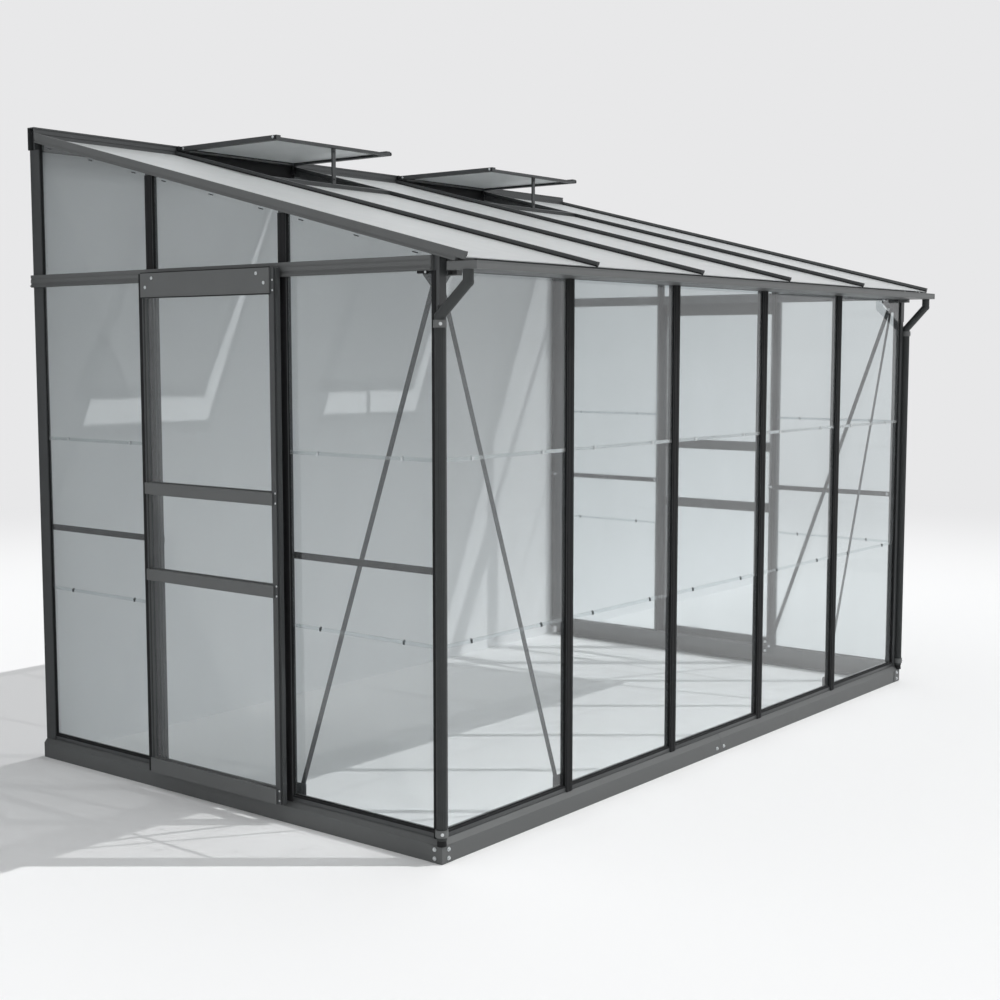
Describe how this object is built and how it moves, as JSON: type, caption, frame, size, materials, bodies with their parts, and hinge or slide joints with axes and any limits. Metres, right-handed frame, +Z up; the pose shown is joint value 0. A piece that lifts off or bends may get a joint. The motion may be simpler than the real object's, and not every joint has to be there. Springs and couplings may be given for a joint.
{
  "type": "lean-to glass greenhouse",
  "caption": "Lean-to greenhouse with a slim dark aluminium frame, lapped glass walls, sliding gable doors, hinged roof vents, eave gutter and downpipes, open at the wall side",
  "frame": {"origin": "centre of the bounding box's bottom face, on the floor", "axes": "+X along the front, +Y from the gutter side to the wall side, +Z up"},
  "size_m": [3.772, 2.376, 2.635],
  "materials": {
    "frame_coat": "anthracite powder coat, satin",
    "base_coat": "anthracite powder coat, satin",
    "gutter_coat": "anthracite powder coat, satin",
    "brace_coat": "anthracite powder coat, satin",
    "door_coat": "anthracite powder coat, satin",
    "pipe_plastic": "dark grey, semi-matte",
    "wall_glass": "clear float glass, faint blue-green tint",
    "roof_glass": "clear float glass"
  },
  "bodies": {
    "frame": {"base_front": "base_coat", "base_splice": "base_coat", "base_left": "base_coat", "base_right": "base_coat", "base_corners": "base_coat", "corner_posts": "frame_coat", "front_bars": "frame_coat", "wall_posts": "frame_coat", "gable_bars": "frame_coat", "track_left": "door_coat", "track_right": "door_coat", "door_runners": "door_coat", "gable_rafters": "frame_coat", "roof_bars": "frame_coat", "ridge_bar": "frame_coat", "eave_beam": "frame_coat", "gutter": "gutter_coat", "gutter_caps": "gutter_coat", "downpipes": "pipe_plastic", "pipe_clips": "gutter_coat", "gable_mid_bars": "frame_coat", "braces": "brace_coat", "brace_plates": "brace_coat", "glass_low": "wall_glass", "glass_mid": "wall_glass", "glass_top": "wall_glass", "gable_top_glass": "wall_glass", "roof_glass": "roof_glass", "vent_sides": "frame_coat", "vent_ends": "frame_coat", "vent_glass": "roof_glass", "vent_sills": "frame_coat", "vent_stays": "frame_coat"},
    "left_door": {"left_door_stiles": "frame_coat", "left_door_rails": "door_coat", "left_door_glass": "wall_glass", "left_door_rollers": "pipe_plastic"},
    "right_door": {"right_door_stiles": "frame_coat", "right_door_rails": "door_coat", "right_door_glass": "wall_glass", "right_door_rollers": "pipe_plastic"}
  },
  "joints": [
    {"name": "left_door_slide", "type": "slide", "parent": "frame", "child": "left_door", "axis": [0, 1, 0], "range_m": [0, 0.7]},
    {"name": "right_door_slide", "type": "slide", "parent": "frame", "child": "right_door", "axis": [0, 1, 0], "range_m": [0, 0.7]}
  ]
}
